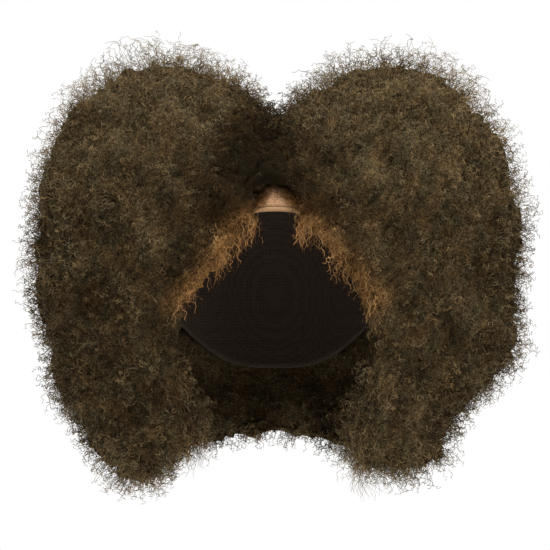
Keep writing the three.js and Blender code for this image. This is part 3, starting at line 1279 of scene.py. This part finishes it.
@dataclass
class Coiffure:
    """All loose hair: the frizz over the puffs, the halo round them, and wisps by face, nape and lace.

    Attributes:
        surface: the mass that strands root on.
        frizz: what makes the strands.
        finish: the strands' material.
        body, halo, face, nape, lace: strands of each growth in all.
        lace_apex: level of the upper corner of the bare lace.
        cap_side, cap_low: how far out hair faces the cap, with 1 on the skin, and down to which level.
        front_share: how much denser the frizz is in front than behind.
        rim_share: how much thinner the halo is before and behind the puffs than round them.
        top_share, low_share, side_share: how much denser the halo is on the puffs' tops, low ends and sides.
        halo_low, halo_side, halo_face: where the low ends, the sides and the face begin for the halo.
        front_edge: where the front quarters meet the back ones.
        face_reach, face_top: how far from the face its wisps grow, and from which level down.
        face_few: how dense they are beyond the golden levels.
        nape_back, nape_side, nape_level: where the nape begins.
        nape_middle, nape_width: where wisps are densest to both sides of the neck, and how far they spread.
        lace_turn: turn in degrees up to which hairs are knotted into the lace.
        face_stroke, lace_stroke: headings of wisps by the face and of hairs in the lace.
    """

    surface: Surface
    frizz: Frizz
    finish: Material
    body: int = 6700
    halo: int = 14900
    face: int = 1100
    nape: int = 560
    lace: int = 1500
    lace_apex: float = -25 * MM
    cap_side: float = 1.3
    cap_low: float = -142 * MM
    front_share: float = 0.2
    rim_share: float = 0.7
    top_share: float = 0.45
    low_share: float = 0.8
    side_share: float = 0.35
    halo_low: Span = (-120 * MM, -170 * MM)
    halo_side: Span = (125 * MM, 155 * MM)
    halo_face: Span = (-145 * MM, -125 * MM)
    front_edge: float = 12 * MM
    face_reach: float = 8 * MM
    face_top: float = -20 * MM
    face_few: float = 0.25
    nape_back: float = 10 * MM
    nape_side: float = 85 * MM
    nape_level: float = -165 * MM
    nape_middle: float = 56 * MM
    nape_width: float = 16 * MM
    lace_turn: float = 30.0
    face_stroke: Place = (-1.0, -0.6, -1.2)
    lace_stroke: Place = (1.0, 0.0, -1.1)

    def showing(self) -> Array:
        """Weighs the triangles that show by how far they face the front.

        Returns:
            About one for each triangle, more in front, and none where it faces the cap.
        """
        centres, facing = self.surface.centres(), self.surface.facing()
        head = self.frizz.head
        inward = ((centres + head.rise * UP) * facing).sum(axis=1) < 0
        hidden = inward & (head.depth(centres) < self.cap_side) & (centres[:, 2] > self.cap_low)
        return np.where(hidden, 0.0, 1 - self.front_share * facing[:, 1])

    def haloed(self) -> Array:
        """Weighs the triangles for the halo: more round the puffs and at their ends, less before and behind.

        Returns:
            How dense it is on each triangle, with none beside the face.
        """
        centres = self.surface.centres()
        across, _, level = centres.T
        rim = 1 - self.rim_share * np.abs(self.surface.facing()[:, 1])
        more = self.top_share * fade(level, *PUFF_TOPS)
        more = more + self.low_share * fade(level, *self.halo_low)
        more = more + self.side_share * fade(np.abs(across), *self.halo_side)
        beside_face = self.frizz.tones.window.nearness(centres, FACE_EDGE) * fade(level, *self.halo_face)
        return rim * (1 + more) * (1 - beside_face)

    def grow(self, name: str, growth: Growth, bed: Bed, along: Array | None = None) -> Piece:
        """Makes a piece of strands and gives it the hair's finish.

        Args:
            name: the piece's name.
            growth: which growth.
            bed: where it grows.
            along: headings along the surface, or any heading.

        Returns:
            The piece.
        """
        points, faces, tone, warmth = self.frizz.strands(bed, COILS[growth], along)
        piece = make_piece(name, points, faces, tone=tone, warmth=warmth)
        piece.data.materials.append(self.finish)
        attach(piece, "root")
        return piece

    def cover(self, name: str, growth: Growth, total: int, mask: Array, seed: int) -> Piece:
        """Covers a share of the hair.

        Args:
            name: the piece's name.
            growth: which growth.
            total: strands of that growth over all of the hair.
            mask: triangles that this piece covers.
            seed: what its random numbers start from.

        Returns:
            The piece.
        """
        weight = self.showing()
        if growth is Growth.HALO:
            weight = weight * self.haloed()
        chance = self.surface.areas() * weight
        count = round(total * (chance * mask).sum() / chance.sum())
        return self.grow(name, growth, self.surface.scatter(count, weight * mask, seed))

    @staticmethod
    def combed(bed: Bed, stroke: Place, loose: float) -> Array:
        """Combs strands one way, with a random share.

        Args:
            bed: where they grow.
            stroke: heading on the wearer's left, mirrored on the right.
            loose: the random share.

        Returns:
            One heading for each strand.
        """
        along = np.tile(stroke, (len(bed.roots), 1))
        along[:, 0] *= np.sign(bed.roots[:, 0])
        return along + loose * bed.rng.normal(size=along.shape)

    def face_wisps(self) -> Piece:
        """Grows fine strands that hang along the edge of the face, golden with the painted light there.

        Returns:
            The wisps.
        """
        centres = self.surface.centres()
        window = self.frizz.tones.window
        near = window.nearness(centres, self.face_reach) * (self.face_few + window.level_share(centres))
        near = near * (centres[:, 2] < self.face_top)
        bed = self.surface.scatter(self.face, near * self.showing(), seed=41)
        return self.grow("face_wisps", Growth.FACE, bed, self.combed(bed, self.face_stroke, 0.5))

    def nape_wisps(self) -> Piece:
        """Grows fine strands that hang below the hair behind the neck.

        Returns:
            The wisps.
        """
        x, y, z = self.surface.centres().T
        low = (y > self.nape_back) & (np.abs(x) < self.nape_side) & (z < self.nape_level)
        beside = bell(np.abs(x) - self.nape_middle, self.nape_width) * (1 + 1.2 * (x > 0))
        bed = self.surface.scatter(self.nape, low * (0.15 + beside), seed=42)
        return self.grow("nape_wisps", Growth.NAPE, bed)

    def lace_hairs(self) -> Piece:
        """Grows short hairs knotted into the lace, swept down to both sides of a bare triangle.

        Returns:
            The hairs.
        """
        rng = np.random.default_rng(43)
        head = self.frizz.head
        turn = rng.uniform(-self.lace_turn, self.lace_turn, 4 * self.lace)
        top, low = head.seam_fall(turn), head.rim_fall(turn)
        roots = head.point(turn, top + (low - top) * rng.uniform(0, 0.95, len(turn)), 0.8 * MM)
        bare = (self.lace_apex - roots[:, 2]) * rng.uniform(0.4, 1.3, len(turn))
        roots = roots[np.abs(roots[:, 0]) > bare][: self.lace]
        bed = Bed(roots, unit(roots + head.rise * UP), rng)
        return self.grow("lace_hairs", Growth.LACE, bed, self.combed(bed, self.lace_stroke, 0.3))

    def build(self) -> list[Piece]:
        """Builds every growth, the frizz and the halo each in four quarters.

        Returns:
            The pieces.
        """
        centres = self.surface.centres()
        left, front = centres[:, 0] > 0, centres[:, 1] < self.front_edge
        quarters = {
            "left_front": left & front,
            "right_front": ~left & front,
            "left_back": left & ~front,
            "right_back": ~left & ~front,
        }
        made = []
        for word, growth, total in (("frizz", Growth.BODY, self.body), ("halo", Growth.HALO, self.halo)):
            for quarter, mask in quarters.items():
                made.append(self.cover(f"{word}_{quarter}", growth, total, mask, 21 + len(made)))
        return [*made, self.face_wisps(), self.nape_wisps(), self.lace_hairs()]


# Studio


@dataclass(frozen=True)
class SoftBox:
    """A square area light.

    Attributes:
        name: the light's name.
        place: where it hangs.
        size: length of its sides.
        power: its power in watts.
    """

    name: str
    place: Place
    size: float
    power: float

    def hang(self, at: Place) -> None:
        """Adds the light, turned to face a place.

        Args:
            at: the place.
        """
        data = bpy.data.lights.new(self.name, "AREA")
        data.size = self.size
        data.energy = self.power
        lamp = bpy.data.objects.new(self.name, data)
        bpy.context.scene.collection.objects.link(lamp)
        heading = np.array(at) - np.array(self.place)
        yaw = math.atan2(heading[1], heading[0]) - TAU / 4
        pitch = math.acos(-heading[2] / np.linalg.norm(heading))
        lamp.location = self.place
        lamp.rotation_euler = (pitch, 0.0, yaw)


@dataclass
class Studio:
    """White room with a paper floor, soft boxes and a straight-on camera at the level of the face.

    Attributes:
        floor_level: height of the floor below the crown.
        floor_width: length of the floor's sides.
        view_width: width of the picture at the widest level of the hair.
        view_level: height that the camera looks at.
        view_depth: distance behind the crown of the hair's widest level.
        distance: from the camera to that level.
        sensor: width of the camera's sensor, in mm.
        boxes: the lights.
    """

    floor_level: float = -1.0
    floor_width: float = 9.0
    view_width: float = 0.385
    view_level: float = -0.083
    view_depth: float = 0.012
    distance: float = 6.0
    sensor: float = 36.0
    boxes: tuple[SoftBox, ...] = (
        SoftBox("key_box", (-0.7, -1.5, 1.6), 1.2, 24.0),
        SoftBox("fill_box", (1.6, -1.6, -0.2), 1.4, 24.0),
        SoftBox("top_box", (0.1, 0.0, 1.8), 1.2, 48.0),
        SoftBox("back_box", (-0.9, 1.7, 0.5), 1.4, 26.0),
    )

    def floor(self) -> None:
        """Lays a level square of matt white paper below the hair, which takes its shadow softly."""
        corners = np.array([[-1, -1, 0], [1, -1, 0], [1, 1, 0], [-1, 1, 0]]) * self.floor_width / 2
        piece = make_piece("paper_floor", corners + self.floor_level * UP, np.array([[0, 1, 2], [0, 2, 3]]))
        recipe = Recipe("matt_white_paper")
        paper = {"Base Color": linear("#fbfbfb"), "Roughness": 0.9, "Specular IOR Level": 0.1}
        piece.data.materials.append(recipe.ended(recipe.add("BsdfPrincipled", "BSDF", paper)))

    def camera(self) -> None:
        """Looks straight along +Y, with the lens that gives the view's width at the hair's widest level."""
        data = bpy.data.cameras.new("camera")
        data.sensor_width = self.sensor
        data.lens = self.sensor * self.distance / self.view_width
        data.clip_end = 50.0
        eye = bpy.data.objects.new("camera", data)
        bpy.context.scene.collection.objects.link(eye)
        eye.location = (0.0, self.view_depth - self.distance, self.view_level)
        eye.rotation_euler = (TAU / 4, 0.0, 0.0)
        bpy.context.scene.camera = eye

    def build(self) -> None:
        """Sets the stage."""
        self.floor()
        self.camera()
        for box in self.boxes:
            box.hang((0.0, 0.0, self.view_level))
        world = bpy.data.worlds.new("white_room")
        world.use_nodes = True
        light = world.node_tree.nodes["Background"].inputs
        light["Color"].default_value = linear("#ffffff")
        light["Strength"].default_value = 1.0
        bpy.context.scene.world = world
        bpy.context.scene.view_settings.view_transform = "Standard"


def main() -> None:
    """Builds the pieces in order and reports the triangles of each one and of all."""
    logging.basicConfig(level=logging.INFO, format="%(name)s: %(message)s")
    head = HeadForm()
    Studio().build()
    pieces = [NetCap(head).build()]
    strip = FrontStrip(head)
    lace, hem = strip.lace(), strip.hem()
    pieces += [lace, hem]
    depth = HairFinish("kinky_hair_depth", roughness=0.9, gloss=0.0, sheen=0.06, tangle=0.54)
    mass, surface, tones = HairMass(head).build(depth.material())
    pieces.append(mass)
    strands = HairFinish("kinky_hair_strands")
    pieces += Coiffure(surface, Frizz(head, tones), strands.material()).build()
    for piece in pieces:
        log.info("%s: %d triangles", piece.name, len(piece.data.polygons))
    log.info("all: %d triangles", sum(len(piece.data.polygons) for piece in pieces))


if __name__ == "__main__":
    main()
